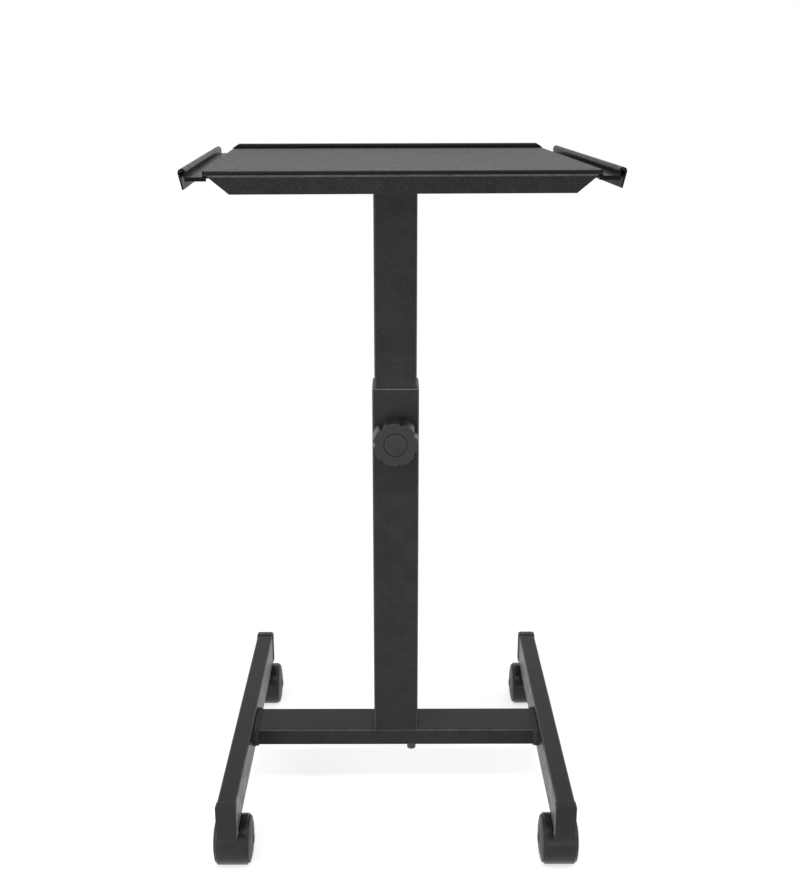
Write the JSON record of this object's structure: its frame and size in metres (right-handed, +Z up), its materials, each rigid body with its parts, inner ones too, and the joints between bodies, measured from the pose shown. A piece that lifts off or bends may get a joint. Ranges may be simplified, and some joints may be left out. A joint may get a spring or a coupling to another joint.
{
  "type": "projector cart",
  "caption": "Wheeled stand with a flat tray between curled rails, on a telescoping square column with a lobed clamp knob, over an H-shaped tube base with hooded swivel casters.",
  "frame": {"origin": "on the floor, under the middle of the cart's outer box", "axes": "+X to the cart's right seen from the front, +Y to the back, away from the clamp knob, +Z up"},
  "size_m": [0.4138, 0.4174, 0.7375],
  "materials": {
    "powder_black": "fine matte black powder coat",
    "end_cap_black": "satin moulded plastic",
    "knob_black": "satin moulded plastic",
    "housing_black": "satin moulded plastic",
    "wheel_black": "matte moulded plastic",
    "zinc_steel": "bright zinc plate",
    "nylon": "natural moulded nylon",
    "mat_grey": "fine ribbed anti-slip surface"
  },
  "bodies": {
    "cart_frame": {"left_leg": "powder_black", "right_leg": "powder_black", "crossbar": "powder_black", "left_weld": "powder_black", "right_weld": "powder_black", "front_left_cap": "end_cap_black", "front_right_cap": "end_cap_black", "rear_left_cap": "end_cap_black", "rear_right_cap": "end_cap_black", "column": "powder_black", "column_foot_plate": "zinc_steel", "foot_screws": "zinc_steel", "guide_sleeve": "nylon", "clamp_boss": "powder_black", "front_left_socket": "nylon", "front_left_stem": "zinc_steel", "front_right_socket": "nylon", "front_right_stem": "zinc_steel", "rear_left_socket": "nylon", "rear_left_stem": "zinc_steel", "rear_right_socket": "nylon", "rear_right_stem": "zinc_steel"},
    "mast_and_tray": {"mast": "powder_black", "mast_plug": "nylon", "mast_plate": "powder_black", "mast_weld": "powder_black", "tray_pan": "powder_black", "tray_mat": "mat_grey", "left_rail": "powder_black", "right_rail": "powder_black", "rail_rivets": "zinc_steel", "tray_screws": "zinc_steel", "tray_nuts": "zinc_steel"},
    "clamp_slider": {"clamp_foot": "zinc_steel"},
    "clamp_knob": {"clamp_screw": "zinc_steel", "knob": "knob_black", "knob_cap": "knob_black"},
    "front_left_caster": {"front_left_housing": "housing_black", "front_left_axle": "zinc_steel"},
    "front_left_outer_wheel": {"front_left_wheel_outer": "wheel_black"},
    "front_left_inner_wheel": {"front_left_wheel_inner": "wheel_black"},
    "front_right_caster": {"front_right_housing": "housing_black", "front_right_axle": "zinc_steel"},
    "front_right_outer_wheel": {"front_right_wheel_outer": "wheel_black"},
    "front_right_inner_wheel": {"front_right_wheel_inner": "wheel_black"},
    "rear_left_caster": {"rear_left_housing": "housing_black", "rear_left_axle": "zinc_steel"},
    "rear_left_outer_wheel": {"rear_left_wheel_outer": "wheel_black"},
    "rear_left_inner_wheel": {"rear_left_wheel_inner": "wheel_black"},
    "rear_right_caster": {"rear_right_housing": "housing_black", "rear_right_axle": "zinc_steel"},
    "rear_right_outer_wheel": {"rear_right_wheel_outer": "wheel_black"},
    "rear_right_inner_wheel": {"rear_right_wheel_inner": "wheel_black"}
  },
  "joints": [
    {"name": "mast_slide", "type": "slide", "parent": "cart_frame", "child": "mast_and_tray", "axis": [0, 0, 1], "range_m": [-0.21, 0.08]},
    {"name": "clamp_travel", "type": "slide", "parent": "cart_frame", "child": "clamp_slider", "axis": [0, -1, 0], "range_m": [0, 0.0025]},
    {"name": "knob_turn", "type": "hinge", "parent": "clamp_slider", "child": "clamp_knob", "pos_m": [0, -0.06175, 0.442], "axis": [0, -1, 0], "range_deg": [0, 720]},
    {"name": "front_left_swivel", "type": "hinge", "parent": "cart_frame", "child": "front_left_caster", "pos_m": [-0.175, -0.18075, 0.05], "axis": [0, 0, 1], "continuous": true},
    {"name": "front_left_outer_spin", "type": "hinge", "parent": "front_left_caster", "child": "front_left_outer_wheel", "pos_m": [-0.187, -0.16025, 0.025], "axis": [1, 0, 0], "continuous": true},
    {"name": "front_left_inner_spin", "type": "hinge", "parent": "front_left_caster", "child": "front_left_inner_wheel", "pos_m": [-0.163, -0.16025, 0.025], "axis": [1, 0, 0], "continuous": true},
    {"name": "front_right_swivel", "type": "hinge", "parent": "cart_frame", "child": "front_right_caster", "pos_m": [0.175, -0.18075, 0.05], "axis": [0, 0, 1], "continuous": true},
    {"name": "front_right_outer_spin", "type": "hinge", "parent": "front_right_caster", "child": "front_right_outer_wheel", "pos_m": [0.187, -0.16025, 0.025], "axis": [1, 0, 0], "continuous": true},
    {"name": "front_right_inner_spin", "type": "hinge", "parent": "front_right_caster", "child": "front_right_inner_wheel", "pos_m": [0.163, -0.16025, 0.025], "axis": [1, 0, 0], "continuous": true},
    {"name": "rear_left_swivel", "type": "hinge", "parent": "cart_frame", "child": "rear_left_caster", "pos_m": [-0.175, 0.16325, 0.05], "axis": [0, 0, 1], "continuous": true},
    {"name": "rear_left_outer_spin", "type": "hinge", "parent": "rear_left_caster", "child": "rear_left_outer_wheel", "pos_m": [-0.187, 0.18375, 0.025], "axis": [1, 0, 0], "continuous": true},
    {"name": "rear_left_inner_spin", "type": "hinge", "parent": "rear_left_caster", "child": "rear_left_inner_wheel", "pos_m": [-0.163, 0.18375, 0.025], "axis": [1, 0, 0], "continuous": true},
    {"name": "rear_right_swivel", "type": "hinge", "parent": "cart_frame", "child": "rear_right_caster", "pos_m": [0.175, 0.16325, 0.05], "axis": [0, 0, 1], "continuous": true},
    {"name": "rear_right_outer_spin", "type": "hinge", "parent": "rear_right_caster", "child": "rear_right_outer_wheel", "pos_m": [0.187, 0.18375, 0.025], "axis": [1, 0, 0], "continuous": true},
    {"name": "rear_right_inner_spin", "type": "hinge", "parent": "rear_right_caster", "child": "rear_right_inner_wheel", "pos_m": [0.163, 0.18375, 0.025], "axis": [1, 0, 0], "continuous": true}
  ],
  "couplings": [
    {"joint": "clamp_travel", "follows": "knob_turn", "m_per_rad": 0.00019894}
  ]
}
